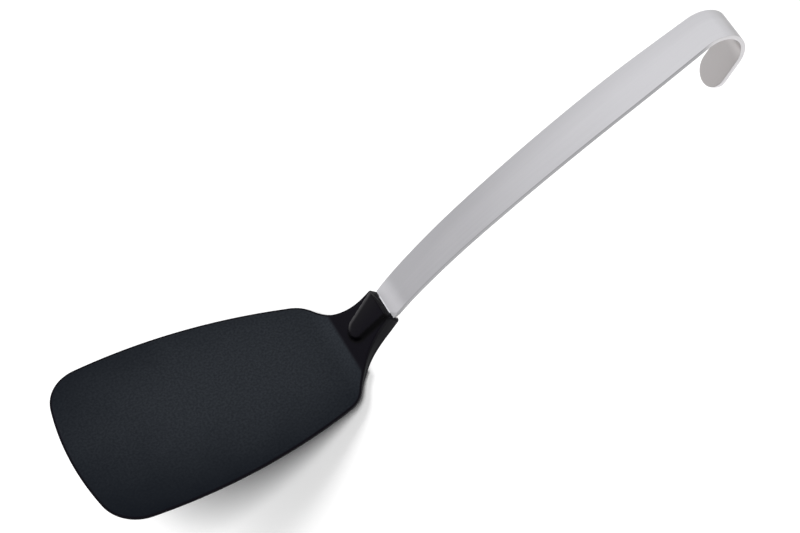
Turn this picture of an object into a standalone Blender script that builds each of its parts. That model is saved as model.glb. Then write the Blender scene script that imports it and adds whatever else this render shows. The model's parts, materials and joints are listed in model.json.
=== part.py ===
"""Flexible spatula: a bent steel strip handle, and a black nylon moulding with a thin leaf that bends.

The pieces are drawn in the leaf's own frame: X runs from the leaf's front edge towards the handle, Y across,
and Z up from the flat underside of the leaf. The finished spatula is then laid down on its heel and its hook.
"""
import math

import bmesh
import bpy
from mathutils import Matrix, Vector

MM = 0.001
DEGREE = math.pi / 180

# Leaf, seen from above
LEAF_LENGTH = 128.5 * MM
LEAF_WIDTH = 87.3 * MM
WIDEST_PLACE_share = 0.29
FRONT_ARC_RADIUS = 138 * MM
SIDE_ARC_RADIUS = 264 * MM
SIDE_ARC_END_share = 0.88
CORNER_RADIUS = 18.5 * MM
SHOULDER_RADIUS = 18 * MM
SHOULDER_SETBACK = 5 * MM

# Leaf, in thickness
ROOT_THICKNESS = 1.8 * MM
FRONT_THICKNESS = 1.1 * MM
LIP_THICKNESS = 0.6 * MM
LIP_LENGTH = 9 * MM

# Lines across the leaf where it bends, counted from the neck, as shares of the leaf's length
FLEX_LINE_shares = (0.87, 0.59, 0.31)
FLEX_GAP = 0.4 * MM

# Neck: it turns up at the heel and ends at the rim, where the strip leaves it
NECK_SLOPE = 47.5 * DEGREE
HEEL_RADIUS = 14 * MM
NECK_LENGTH = 29.3 * MM
NECK_FILLET_RADIUS = 36 * MM
NECK_WAIST_PLACE = 7.4 * MM
NECK_WAIST_WIDTH = 20.4 * MM
SOCKET_WIDTH = 17.4 * MM
SOCKET_HEIGHT = 7.7 * MM
SIDE_WALL_START = -3 * MM
SIDE_WALL_END = 25 * MM
KEEL_WIDTH = 13 * MM
KEEL_START = 1.5 * MM
KEEL_RAMP = 8.5 * MM

# Thumb-shaped boss over the tang
BOSS_NOSE_PLACE = 8.5 * MM
BOSS_NOSE_WIDTH = 11.6 * MM
BOSS_RIM_WIDTH = 16.4 * MM
BOSS_RISE = 1.4 * MM
BOSS_FLANK = 0.9 * MM

# Strip handle
STRIP_THICKNESS = 2.1 * MM
STRIP_COVER = 3.5 * MM
RIM_WIDTH = 16.9 * MM
BELLY_WIDTH = 20.3 * MM
BELLY_PLACE = 135 * MM
TONGUE_WIDTH = 16.6 * MM
COLLAR_LENGTH = 3 * MM
LOWER_BEND_LENGTH = 16 * MM
LOWER_BEND_TURN = 6 * DEGREE
MIDDLE_BEND_LENGTH = 36 * MM
MIDDLE_BEND_TURN = 7.1 * DEGREE
UPPER_BEND_LENGTH = 96 * MM
UPPER_BEND_TURN = 7 * DEGREE
STRAIGHT_LENGTH = 28.7 * MM
HOOK_RADIUS = 13.4 * MM
HOOK_TURN = 152 * DEGREE
TONGUE_LENGTH = 10.6 * MM

# Tang, the strip's narrow end inside the neck, with the hole that the nylon fills
TANG_LENGTH = 18 * MM
TANG_WIDTH = 10.4 * MM
TANG_HOLE_PLACE = 9 * MM
TANG_HOLE_WIDTH = 4.4 * MM

# Clearance between touching pieces, wall left around the tang, and how fine the curves are cut
FIT = 0.3 * MM
TANG_WALL = 1.2 * MM
OVERRUN = 2 * MM
FACET_ERROR = 0.03 * MM
SEED_WIDTH = 1.2 * MM
POST_SIDES = 20
ROUND_END_STEPS = 9
BELLY_STEPS = 8

NYLON_BLACK = (0.012, 0.013, 0.016, 1)
NYLON_LEAF = (0.018, 0.022, 0.027, 1)
STEEL_GREY = (0.62, 0.61, 0.62, 1)


def clear_scene():
    for obj in list(bpy.data.objects):
        bpy.data.objects.remove(obj, do_unlink=True)


def material(name, colour, roughness, metallic):
    made = bpy.data.materials.new(name)
    made.use_nodes = True
    shader = made.node_tree.nodes["Principled BSDF"]
    shader.inputs["Base Color"].default_value = colour
    shader.inputs["Roughness"].default_value = roughness
    shader.inputs["Metallic"].default_value = metallic
    made.diffuse_color = colour
    return made


def smooth(share):
    """Eases from 0 to 1 with no kink at either end."""
    share = min(max(share, 0), 1)
    return share * share * (3 - 2 * share)


def arc_steps(radius, turn):
    """How many straight facets keep an arc within the facet error."""
    facet = 2 * math.acos(1 - min(FACET_ERROR / radius, 1))
    return max(1, math.ceil(abs(turn) / facet))


def arc(centre, radius, start, end):
    """Points along an arc, both ends included."""
    steps = arc_steps(radius, end - start)
    angles = [start + (end - start) * i / steps for i in range(steps + 1)]
    return [centre + radius * Vector((math.cos(a), math.sin(a))) for a in angles]


def crossing(first, first_radius, second, second_radius):
    """The crossing of two circles that lies to the left of the way from the first centre to the second."""
    way = second - first
    along = (first_radius**2 - second_radius**2 + way.length_squared) / (2 * way.length)
    aside = math.sqrt(max(first_radius**2 - along**2, 0))
    way.normalize()
    return first + along * way + aside * Vector((-way.y, way.x))


def rounded(corners, radii):
    """A polyline whose inner corners become arcs, each limited by the straights beside it."""
    sides = [b - a for a, b in zip(corners, corners[1:])]
    turns = [a.angle(b) for a, b in zip(sides, sides[1:])]
    reach = [r * math.tan(t / 2) for r, t in zip(radii, turns)]
    needed = [a + b for a, b in zip([0] + reach, reach + [0])]
    room = [min(1, side.length / need) if need else 1 for side, need in zip(sides, needed)]
    points = [corners[0]]
    for i, corner in enumerate(corners[1:-1]):
        share = min(room[i], room[i + 1])
        into, out = sides[i].normalized(), sides[i + 1].normalized()
        start = corner - into * reach[i] * share
        side = 1 if into.x * out.y - into.y * out.x > 0 else -1
        normal = Vector((-into.y, into.x)) * side
        centre = start + normal * radii[i] * share
        first = math.atan2(-normal.y, -normal.x)
        points += arc(centre, radii[i] * share, first, first + side * turns[i])
    return points + [corners[-1]]


def moulding_outline():
    """Half the moulding's outline in the flat, from the middle of the front edge to the socket's rim."""
    front = Vector((FRONT_ARC_RADIUS, 0))
    side = Vector((WIDEST_PLACE_share * LEAF_LENGTH, LEAF_WIDTH / 2 - SIDE_ARC_RADIUS))
    corner = crossing(side, SIDE_ARC_RADIUS - CORNER_RADIUS, front, FRONT_ARC_RADIUS - CORNER_RADIUS)
    corner_start = math.atan2(corner.y - front.y, corner.x - front.x)
    corner_end = math.atan2(corner.y - side.y, corner.x - side.x)
    side_end = math.acos((SIDE_ARC_END_share * LEAF_LENGTH - side.x) / SIDE_ARC_RADIUS)
    points = arc(front, FRONT_ARC_RADIUS, math.pi, corner_start)
    points += arc(corner, CORNER_RADIUS, corner_start, corner_end)[1:]
    points += arc(side, SIDE_ARC_RADIUS, corner_end, side_end)[1:]
    last = points[-1]
    to_shoulder = LEAF_LENGTH - SHOULDER_SETBACK - last.x
    shoulder = last + to_shoulder * Vector((1, -1 / math.tan(side_end)))
    waist = Vector((LEAF_LENGTH + NECK_WAIST_PLACE, NECK_WAIST_WIDTH / 2))
    rim = Vector((rim_place(), SOCKET_WIDTH / 2))
    return points + rounded([last, shoulder, waist, rim], [SHOULDER_RADIUS, NECK_FILLET_RADIUS])[1:]


def heel_tangent():
    return HEEL_RADIUS * math.tan(NECK_SLOPE / 2)


def rim_place():
    """The rim's distance from the front edge, along the moulding laid flat."""
    return LEAF_LENGTH + NECK_LENGTH + HEEL_RADIUS * NECK_SLOPE - 2 * heel_tangent()


def up_the_neck(flat):
    """The distance from the heel's corner, up the neck, of a place along the flat moulding."""
    return flat - rim_place() + NECK_LENGTH


def neck_frame():
    """Origin at the heel's corner, X up the neck, Z square to it."""
    return Matrix.Translation((LEAF_LENGTH, 0, 0)) @ Matrix.Rotation(-NECK_SLOPE, 4, "Y")


def bent(flat, aside, height):
    """Where a point of the flat moulding lies once the neck is turned up at the heel."""
    turned = (flat - LEAF_LENGTH + heel_tangent()) / HEEL_RADIUS
    if turned <= 0:
        return Vector((flat, aside, height))
    if turned >= NECK_SLOPE:
        return neck_frame() @ Vector((up_the_neck(flat), aside, height))
    radius = HEEL_RADIUS - height
    x = LEAF_LENGTH - heel_tangent() + radius * math.sin(turned)
    return Vector((x, aside, HEEL_RADIUS - radius * math.cos(turned)))


def leaf_thickness(flat):
    """Thickness of the leaf: an even taper, then the thin lip along the front edge."""
    def taper(place):
        share = min(place / (LEAF_LENGTH - heel_tangent()), 1)
        return FRONT_THICKNESS + (ROOT_THICKNESS - FRONT_THICKNESS) * share

    if flat >= LIP_LENGTH:
        return taper(flat)
    return LIP_THICKNESS + (taper(LIP_LENGTH) - LIP_THICKNESS) * flat / LIP_LENGTH


def half_width(outline, flat):
    """The moulding's half width at a place past the widest one."""
    for a, b in zip(outline, outline[1:]):
        if a.x <= flat <= b.x and b.y <= a.y:
            return a.y + (b.y - a.y) * (flat - a.x) / (b.x - a.x)
    return outline[-1].y


def mirrored(half):
    """A closed outline from one half of it."""
    other = [Vector((p.x, -p.y)) for p in reversed(half) if p.y > 0]
    return half + other


def prism(outline, thickness):
    """A closed flat plate standing on Z = 0."""
    mesh = bmesh.new()
    floor = mesh.faces.new([mesh.verts.new((p.x, p.y, 0)) for p in outline])
    raised = bmesh.ops.extrude_face_region(mesh, geom=[floor])["geom"]
    bmesh.ops.translate(mesh, vec=(0, 0, thickness), verts=[v for v in raised if isinstance(v, bmesh.types.BMVert)])
    bmesh.ops.recalc_face_normals(mesh, faces=mesh.faces)
    return mesh


def slice_across(mesh, place, keep=None):
    """Cuts the mesh square to X. With keep, +1 or -1, only that side stays, and its end is closed."""
    cut = bmesh.ops.bisect_plane(
        mesh,
        geom=mesh.verts[:] + mesh.edges[:] + mesh.faces[:],
        dist=FACET_ERROR * FACET_ERROR,
        plane_co=(place, 0, 0),
        plane_no=(1, 0, 0),
        clear_inner=keep == 1,
        clear_outer=keep == -1,
    )["geom_cut"]
    if keep:
        bmesh.ops.contextual_create(mesh, geom=[e for e in cut if isinstance(e, bmesh.types.BMEdge)])


def loft(rings):
    """A closed solid through rings of as many points each."""
    mesh = bmesh.new()
    rows = [[mesh.verts.new(point) for point in ring] for ring in rings]
    for a, b in zip(rows, rows[1:]):
        for i in range(len(a)):
            j = (i + 1) % len(a)
            mesh.faces.new((a[i], a[j], b[j], b[i]))
    mesh.faces.new(rows[0])
    mesh.faces.new(rows[-1])
    bmesh.ops.recalc_face_normals(mesh, faces=mesh.faces)
    return mesh


def piece(name, mesh, finish, parent, origin=Vector((0, 0, 0))):
    """Makes the object, with its origin on the given point of the leaf's frame."""
    bmesh.ops.translate(mesh, vec=-origin, verts=mesh.verts)
    data = bpy.data.meshes.new(name)
    mesh.to_mesh(data)
    mesh.free()
    obj = bpy.data.objects.new(name, data)
    bpy.context.scene.collection.objects.link(obj)
    if finish:
        data.materials.append(finish)
    data.set_sharp_from_angle(angle=NECK_SLOPE / 2)
    obj.parent = parent
    obj.location = origin
    return obj


def cutter(name, mesh, parent):
    obj = piece(name, mesh, None, parent)
    obj.hide_render = True
    obj.display_type = "WIRE"
    return obj


def boolean(obj, operation, other):
    added = obj.modifiers.new(other.name, "BOOLEAN")
    added.operation = operation
    added.solver = "EXACT"
    added.object = other


def leaf_plate(name, near, far, finish, parent, hinge):
    """One stretch of the leaf, from near the front edge to far along it."""
    half = [p for p in moulding_outline() if p.x < LEAF_LENGTH - heel_tangent()]
    mesh = prism(mirrored(half), ROOT_THICKNESS)
    slice_across(mesh, far, keep=-1)
    if near > 0:
        slice_across(mesh, near, keep=1)
    else:
        slice_across(mesh, LIP_LENGTH)
    for vert in mesh.verts:
        if vert.co.z > 0:
            vert.co.z = leaf_thickness(vert.co.x)
    return piece(name, mesh, finish, parent, hinge)


def boss_half_width(place):
    """Half the boss's width at a distance up the neck: a round nose, then an even flare to the rim."""
    radius = BOSS_NOSE_WIDTH / 2
    past = place - BOSS_NOSE_PLACE
    if past <= 0:
        return SEED_WIDTH / 2
    flare = (BOSS_RIM_WIDTH - BOSS_NOSE_WIDTH) / 2 * max(past - radius, 0)
    flare /= NECK_LENGTH - BOSS_NOSE_PLACE - radius
    if past < radius:
        return max(math.sqrt(radius**2 - (radius - past) ** 2), SEED_WIDTH / 2)
    return radius + flare


def underside(place):
    """Heights of the neck's underside at its side and along its keel, at a distance up the neck."""
    wall_share = (place - SIDE_WALL_START) / (SIDE_WALL_END - SIDE_WALL_START)
    side = (ROOT_THICKNESS - SOCKET_HEIGHT) * smooth(wall_share)
    deepest = ROOT_THICKNESS - STRIP_COVER - STRIP_THICKNESS - FIT - TANG_WALL
    keel = deepest * smooth((place - KEEL_START) / KEEL_RAMP)
    return side, min(side, keel)


def neck_ring(outline, flat):
    """The closed cross-section of the moulding at one place along it."""
    place = up_the_neck(flat)
    top = leaf_thickness(flat)
    side, keel = underside(place)
    boss = boss_half_width(place)
    crown = top + BOSS_RISE * min(max((place - BOSS_NOSE_PLACE) / BOSS_FLANK, 0), 1)
    width = half_width(outline, flat)
    right = [
        (max(boss - BOSS_FLANK, boss / 2), crown),
        (boss, top),
        (width, top),
        (width, side),
        (min(KEEL_WIDTH, SOCKET_WIDTH - TANG_WALL) / 2, keel),
    ]
    left = [(-aside, height) for aside, height in reversed(right)]
    ring = [(0, crown)] + right + [(0, keel)] + left
    return [bent(flat, aside, height) for aside, height in ring]


def neck_stations(outline, start):
    """The places along the flat moulding where the neck gets a cross-section."""
    rim = rim_place()
    bend_start = LEAF_LENGTH - heel_tangent()
    bend = HEEL_RADIUS * NECK_SLOPE
    bend_steps = arc_steps(HEEL_RADIUS, NECK_SLOPE)
    nose = rim - NECK_LENGTH + BOSS_NOSE_PLACE
    radius = BOSS_NOSE_WIDTH / 2
    places = [p.x for p in outline if p.x > start]
    places += [bend_start + bend * i / bend_steps for i in range(bend_steps + 1)]
    places += [nose, nose + BOSS_FLANK]
    places += [nose + radius * (1 - math.cos(math.pi / 2 * i / ROUND_END_STEPS)) for i in range(3, ROUND_END_STEPS + 1)]
    chosen = [start]
    for place in sorted(places):
        if place - chosen[-1] > FIT and rim - place > FIT:
            chosen.append(place)
    return chosen + [rim]


def tang_outline(grow):
    """The tang and its round end in the neck's frame, grown all round by a clearance."""
    radius = TANG_WIDTH / 2 + grow
    centre = Vector((NECK_LENGTH - TANG_LENGTH + TANG_WIDTH / 2, 0))
    quarter = [math.pi - math.pi / 2 * i / ROUND_END_STEPS for i in range(ROUND_END_STEPS + 1)]
    half = [centre + radius * Vector((math.cos(a), math.sin(a))) for a in quarter]
    return half + [Vector((NECK_LENGTH + OVERRUN, radius))]


def strip_bottom():
    """Height of the strip's underside in the neck's frame."""
    return ROOT_THICKNESS - STRIP_COVER - STRIP_THICKNESS


def tang_post(width, low, high):
    """A round post through the tang's hole, in the neck's frame."""
    mesh = bmesh.new()
    centre = Vector((NECK_LENGTH - TANG_LENGTH + TANG_HOLE_PLACE, 0, (low + high) / 2))
    bmesh.ops.create_cone(
        mesh,
        cap_ends=True,
        segments=POST_SIDES,
        radius1=width / 2,
        radius2=width / 2,
        depth=high - low,
        matrix=neck_frame() @ Matrix.Translation(centre),
    )
    return mesh


def neck_socket(finish, parent):
    """The moulding's solid end: the leaf's root, the neck, the boss, and the pocket for the tang."""
    outline = moulding_outline()
    start = FLEX_LINE_shares[0] * LEAF_LENGTH + FLEX_GAP / 2
    body = loft([neck_ring(outline, flat) for flat in neck_stations(outline, start)])
    obj = piece("neck_socket", body, finish, parent)
    pocket = prism(mirrored(tang_outline(FIT)), STRIP_THICKNESS + 2 * FIT)
    bmesh.ops.translate(pocket, vec=(0, 0, strip_bottom() - FIT), verts=pocket.verts)
    bmesh.ops.transform(pocket, matrix=neck_frame(), verts=pocket.verts)
    boolean(obj, "DIFFERENCE", cutter("tang_pocket", pocket, parent))
    low = strip_bottom() - FIT - TANG_WALL / 2
    high = strip_bottom() + STRIP_THICKNESS + FIT + TANG_WALL / 2
    post = tang_post(TANG_HOLE_WIDTH - 2 * FIT, low, high)
    boolean(obj, "UNION", cutter("tang_post", post, parent))
    return obj


def strip_runs():
    """The strip's bends from the rim to its end: each a length of its top face, and its turn."""
    hook = HOOK_RADIUS * HOOK_TURN
    return (
        (COLLAR_LENGTH, 0),
        (LOWER_BEND_LENGTH, LOWER_BEND_TURN),
        (MIDDLE_BEND_LENGTH, MIDDLE_BEND_TURN),
        (UPPER_BEND_LENGTH, UPPER_BEND_TURN),
        (STRAIGHT_LENGTH, 0),
        (hook, HOOK_TURN),
        (TONGUE_LENGTH + TONGUE_WIDTH / 2, 0),
    )


def handle_length():
    """The strip's length from the rim to where the hook starts to bend."""
    return COLLAR_LENGTH + LOWER_BEND_LENGTH + MIDDLE_BEND_LENGTH + UPPER_BEND_LENGTH + STRAIGHT_LENGTH


def strip_half_width(place):
    """Half the strip's width at a distance from the rim: a slight belly, then even along the hook."""
    if place < BELLY_PLACE:
        share = math.sin(math.pi / 2 * max(place, 0) / BELLY_PLACE)
        return (RIM_WIDTH + (BELLY_WIDTH - RIM_WIDTH) * share) / 2
    hook_end = handle_length() + HOOK_RADIUS * HOOK_TURN
    share = smooth((place - BELLY_PLACE) / (hook_end - BELLY_PLACE))
    return (BELLY_WIDTH + (TONGUE_WIDTH - BELLY_WIDTH) * share) / 2


def strip_outline():
    """Half the flat blank of the strip, measured from the rim: tang, shoulder, belly, hook and round tongue."""
    tang = [Vector((p.x - NECK_LENGTH, p.y)) for p in tang_outline(0)[:-1]]
    shoulder = [Vector((FIT, TANG_WIDTH / 2)), Vector((FIT, strip_half_width(FIT)))]
    lower = [BELLY_PLACE * i / BELLY_STEPS for i in range(1, BELLY_STEPS + 1)]
    to_tongue = handle_length() + HOOK_RADIUS * HOOK_TURN - BELLY_PLACE
    upper = [BELLY_PLACE + to_tongue * i / BELLY_STEPS for i in range(1, BELLY_STEPS + 1)]
    sides = [Vector((place, strip_half_width(place))) for place in lower + upper]
    radius = TONGUE_WIDTH / 2
    centre = Vector((sum(length for length, _ in strip_runs()) - radius, 0))
    quarter = [math.pi / 2 * (1 - i / ROUND_END_STEPS) for i in range(ROUND_END_STEPS + 1)]
    tongue = [centre + radius * Vector((math.cos(a), math.sin(a))) for a in quarter]
    return tang + shoulder + sides + tongue


def rim_frame():
    """Origin on the strip's top face at the rim, X along the strip, Z out of its top face."""
    return neck_frame() @ Matrix.Translation((NECK_LENGTH, 0, strip_bottom() + STRIP_THICKNESS))


def strip_frames():
    """The start of each run of the strip, as (place, radius, turn, frame at its start)."""
    frames = []
    place, frame = 0, rim_frame()
    for length, turn in strip_runs():
        radius = length / turn if turn else 0
        frames.append((place, radius, turn, frame))
        if turn:
            chord = Vector((radius * math.sin(turn), 0, -radius * (1 - math.cos(turn))))
            frame = frame @ Matrix.Translation(chord) @ Matrix.Rotation(turn, 4, "Y")
        else:
            frame = frame @ Matrix.Translation((length, 0, 0))
        place += length
    return frames


def on_strip(frames, place, aside, height):
    """Where a point of the flat blank lies once the strip is bent. Height counts up from its top face."""
    start, radius, turn, frame = frames[0]
    for run in frames:
        if place >= run[0]:
            start, radius, turn, frame = run
    if not turn:
        return frame @ Vector((place - start, aside, height))
    angle = (place - start) / radius
    reach = radius + height
    return frame @ Vector((reach * math.sin(angle), aside, reach * math.cos(angle) - radius))


def handle_strip(finish, parent):
    """The whole steel strip, cut flat and then bent."""
    mesh = prism(mirrored(strip_outline()), STRIP_THICKNESS)
    frames = strip_frames()
    for (place, radius, turn, _), (length, _) in zip(frames, strip_runs()):
        steps = arc_steps(radius, turn) if turn else 1
        for i in range(steps + 1):
            slice_across(mesh, place + length * i / steps)
    for vert in mesh.verts:
        vert.co = on_strip(frames, vert.co.x, vert.co.y, vert.co.z - STRIP_THICKNESS)
    obj = piece("handle_strip", mesh, finish, parent)
    low = strip_bottom() - OVERRUN
    high = strip_bottom() + STRIP_THICKNESS + OVERRUN
    boolean(obj, "DIFFERENCE", cutter("tang_hole", tang_post(TANG_HOLE_WIDTH, low, high), parent))
    return obj


def world_points(objects):
    bpy.context.view_layer.update()
    graph = bpy.context.evaluated_depsgraph_get()
    points = []
    for obj in objects:
        shown = obj.evaluated_get(graph)
        points += [shown.matrix_world @ vert.co for vert in shown.data.vertices]
    return points


def lay_down(frame, objects):
    """Tips the spatula back until its heel and its hook both touch, with the origin below its middle."""
    points = world_points(objects)
    tilt = 0
    for _ in range(ROUND_END_STEPS):
        rear = [p for p in points if p.x > LEAF_LENGTH + NECK_LENGTH]
        fore = [p for p in points if p.x <= LEAF_LENGTH + NECK_LENGTH]
        heel = min(fore, key=lambda p: p.z * math.cos(tilt) - p.x * math.sin(tilt))
        tilt = min(math.atan2(p.z - heel.z, p.x - heel.x) for p in rear)
    frame.rotation_euler = (0, tilt, 0)
    points = world_points(objects)
    low = Vector([min(p[i] for p in points) for i in range(3)])
    high = Vector([max(p[i] for p in points) for i in range(3)])
    frame.location = -Vector(((low.x + high.x) / 2, (low.y + high.y) / 2, low.z))


def build():
    clear_scene()
    steel = material("satin_steel", STEEL_GREY, 0.32, 1)
    nylon = material("black_nylon", NYLON_BLACK, 0.4, 0)
    leaf_nylon = material("matte_black_nylon", NYLON_LEAF, 0.6, 0)
    frame = bpy.data.objects.new("leaf_frame", None)
    bpy.context.scene.collection.objects.link(frame)
    objects = [handle_strip(steel, frame), neck_socket(nylon, frame)]
    lines = [share * LEAF_LENGTH for share in FLEX_LINE_shares] + [0]
    held_at = Vector((0, 0, 0))
    for name, far, near in zip(("leaf_root", "leaf_mid", "leaf_front"), lines, lines[1:]):
        hinge = Vector((far, 0, leaf_thickness(far) / 2))
        near_end = near + FLEX_GAP / 2 if near else 0
        plate = leaf_plate(name, near_end, far - FLEX_GAP / 2, leaf_nylon, objects[-1], hinge)
        plate.location = hinge - held_at
        held_at = hinge
        objects.append(plate)
    lay_down(frame, objects)


build()
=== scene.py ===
# %% [markdown]
# # A flexible spatula, dressed for its picture
#
# The real spatula has two pieces: a bent strip of satin steel, and a black nylon moulding that is cast around
# the strip's end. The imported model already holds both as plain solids, and the leaf as plates on three
# hinges. Here each gets a finer skin, with rounded edges and a finish, in exactly the same place.

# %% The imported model
import json
import math

import bmesh
import bpy
from mathutils import Matrix, Vector


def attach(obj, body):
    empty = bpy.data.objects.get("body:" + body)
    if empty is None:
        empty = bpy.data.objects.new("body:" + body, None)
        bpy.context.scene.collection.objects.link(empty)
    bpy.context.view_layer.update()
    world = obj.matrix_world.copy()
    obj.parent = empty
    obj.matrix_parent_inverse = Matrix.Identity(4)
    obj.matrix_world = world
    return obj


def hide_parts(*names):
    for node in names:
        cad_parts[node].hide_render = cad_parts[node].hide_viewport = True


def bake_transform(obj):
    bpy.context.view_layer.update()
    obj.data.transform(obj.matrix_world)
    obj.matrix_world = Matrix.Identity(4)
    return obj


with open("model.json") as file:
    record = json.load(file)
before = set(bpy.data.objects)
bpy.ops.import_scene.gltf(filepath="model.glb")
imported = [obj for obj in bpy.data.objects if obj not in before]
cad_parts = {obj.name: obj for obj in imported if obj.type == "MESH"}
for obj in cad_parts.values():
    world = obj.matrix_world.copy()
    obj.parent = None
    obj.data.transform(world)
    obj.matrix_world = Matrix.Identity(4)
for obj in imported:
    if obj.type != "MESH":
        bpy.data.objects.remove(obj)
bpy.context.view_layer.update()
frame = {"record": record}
MM = 0.001
DEGREE = math.pi / 180
SAME_PLACE = 0.001 * MM

# %% [markdown]
# ## The leaf's own frame
#
# The spatula lies tipped back on its heel and its hook, but it is drawn with its leaf level: X runs from the
# leaf's front edge to the handle, Y across, and Z up from the leaf's underside. The record's one mount is a
# point on that underside with the direction that faces out of it, and the tilt and the place follow from it.

# %% Where the leaf lies
MOUNT_PLACE = 60 * MM
mount = frame["record"]["mounts"][0]
facing = Vector(mount["axis"])
tilt = math.atan2(-facing.x, -facing.z)
tilted = Matrix.Rotation(tilt, 4, "Y")
leaf_frame = Matrix.Translation(Vector(mount["pos_m"]) - tilted @ Vector((MOUNT_PLACE, 0, 0))) @ tilted
print("the leaf is tilted by", round(tilt / DEGREE, 2), "degrees")

# %% [markdown]
# ## The camera
#
# It was fitted to the photograph's outline with the leaf level, so it is set in the leaf's frame as well:
# it looks from a little to the front left and from well above, through a long lens, and is rolled slightly.

# %% The camera
TARGET = Vector((161.8, 8.9, 30)) * MM
DISTANCE = 1458.9 * MM
CAMERA_TURN, CAMERA_ELEVATION, CAMERA_ROLL = -24.77, 50.63, -1.96
FOCAL_LENGTH, SENSOR_WIDTH = 151.8, 36
FARTHEST_SEEN = 20
around = Matrix.Rotation(CAMERA_TURN * DEGREE, 4, "Z")
above = Matrix.Rotation((90 - CAMERA_ELEVATION) * DEGREE, 4, "X")
rolled = Matrix.Rotation(CAMERA_ROLL * DEGREE, 4, "Z")
camera = bpy.data.objects.new("camera", bpy.data.cameras.new("camera"))
camera.data.lens = FOCAL_LENGTH
camera.data.sensor_width = SENSOR_WIDTH
camera.data.clip_end = FARTHEST_SEEN
camera.matrix_world = (
    leaf_frame
    @ Matrix.Translation(TARGET)
    @ around
    @ above
    @ rolled
    @ Matrix.Translation((0, 0, DISTANCE))
)
bpy.context.scene.collection.objects.link(camera)
bpy.context.scene.camera = camera
print("camera at, mm:", [round(v / MM) for v in camera.matrix_world.translation])

# %% [markdown]
# ## Sizes
#
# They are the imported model's sizes, so that each skin lies on its solid. The moulding is drawn as a flat
# blank and its neck is turned up afterwards, the way a strip of card is bent over a round edge.

# %% Sizes of the moulding
LEAF_LENGTH = 128.5 * MM
LEAF_WIDTH = 87.3 * MM
WIDEST_PLACE = 0.29 * LEAF_LENGTH
FRONT_ARC_RADIUS = 138 * MM
SIDE_ARC_RADIUS = 264 * MM
SIDE_ARC_END = 0.88 * LEAF_LENGTH
CORNER_RADIUS = 18.5 * MM
SHOULDER_RADIUS = 18 * MM
SHOULDER_SETBACK = 5 * MM
ROOT_THICKNESS = 1.8 * MM
FRONT_THICKNESS = 1.1 * MM
LIP_THICKNESS = 0.6 * MM
LIP_LENGTH = 9 * MM
NECK_SLOPE = 47.5 * DEGREE
HEEL_RADIUS = 14 * MM
NECK_LENGTH = 29.3 * MM
NECK_FILLET_RADIUS = 36 * MM
NECK_WAIST = Vector((LEAF_LENGTH + 7.4 * MM, 20.4 * MM / 2))
SOCKET_WIDTH = 17.4 * MM
SOCKET_HEIGHT = 7.7 * MM
SIDE_WALL_START = -3 * MM
SIDE_WALL_END = 25 * MM
KEEL_WIDTH = 13 * MM
KEEL_DEPTH = 5.3 * MM
KEEL_START = 1.5 * MM
KEEL_RAMP = 8.5 * MM
KEEL_FLANK = 2 * MM
BOSS_NOSE = 8.5 * MM
BOSS_NOSE_WIDTH = 11.6 * MM
BOSS_RIM_WIDTH = 16.4 * MM
BOSS_RISE = 1.4 * MM
HEEL_TANGENT = HEEL_RADIUS * math.tan(NECK_SLOPE / 2)
RIM_PLACE = LEAF_LENGTH + NECK_LENGTH + HEEL_RADIUS * NECK_SLOPE - 2 * HEEL_TANGENT
FLEX_PLACES = [share * LEAF_LENGTH for share in (0.87, 0.59, 0.31)]
print("the flat blank is", round(RIM_PLACE / MM, 1), "mm long")
print("it bends at, mm:", [round(v / MM, 1) for v in FLEX_PLACES])

# %% [markdown]
# ## Drawing an outline with operators
#
# An outline starts as one vertex. Pulling it on makes a straight, and spinning it about a centre makes a true
# arc, so the curves stay as exact as the part's. A list of points would do too, but would hide which arc is
# which.

# %% A pen: straights and arcs from one vertex
FACET = 1.5 * MM
MERGE_REACH = 0.01 * MM


def pull(mesh, vert, place):
    """Draws a straight line from the last vertex to a place, and returns its end."""
    end = bmesh.ops.extrude_vert_indiv(mesh, verts=[vert])["verts"][0]
    end.co = (place.x, place.y, 0)
    return end


def sweep(mesh, vert, centre, turn, facet=FACET):
    """Draws an arc from the last vertex about a centre, and returns its end."""
    radius = (vert.co.xy - centre).length
    steps = max(3, math.ceil(abs(turn) * radius / facet))
    swept = bmesh.ops.spin(
        mesh, geom=[vert], cent=(centre.x, centre.y, 0), axis=(0, 0, 1), angle=turn, steps=steps
    )
    return [part for part in swept["geom_last"] if isinstance(part, bmesh.types.BMVert)][0]


def turn_corner(mesh, vert, corner, beyond, radius):
    """Draws up to a corner and round it, towards the place beyond it."""
    here = vert.co.xy.copy()
    into, out = (corner - here).normalized(), (beyond - corner).normalized()
    turn = math.atan2(into.x * out.y - into.y * out.x, into.dot(out))
    start = corner - into * radius * math.tan(abs(turn) / 2)
    side = Vector((-into.y, into.x)) * math.copysign(radius, turn)
    return sweep(mesh, pull(mesh, vert, start), start + side, turn)


def fitted(corners, radii):
    """Corner radii, made smaller where the straights beside a corner are too short for them."""
    sides = [b - a for a, b in zip(corners, corners[1:])]
    reach = [radius * math.tan(a.angle(b) / 2) for radius, a, b in zip(radii, sides, sides[1:])]
    needed = [a + b for a, b in zip([0] + reach, reach + [0])]
    room = [min(1, side.length / need) for side, need in zip(sides, needed)]
    return [radius * min(a, b) for radius, a, b in zip(radii, room, room[1:])]


def crossing(first, first_radius, second, second_radius):
    """The crossing of two circles to the left of the way from the first centre to the second."""
    way = second - first
    along = (first_radius**2 - second_radius**2 + way.length_squared) / (2 * way.length)
    aside = math.sqrt(first_radius**2 - along**2)
    way.normalize()
    return first + along * way + aside * Vector((-way.y, way.x))


print("arcs are drawn in facets of about", round(FACET / MM, 1), "mm")

# %% [markdown]
# ## The moulding's outline
#
# Half of it is drawn: the shallow front edge, the round front corner, the long side, the shoulder, the hollow
# of the neck and the socket's rim. The mirror operator makes the other half, and the closed loop is filled.

# %% The moulding's flat outline
RIM_CORNER_RADIUS = 1 * MM


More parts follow.
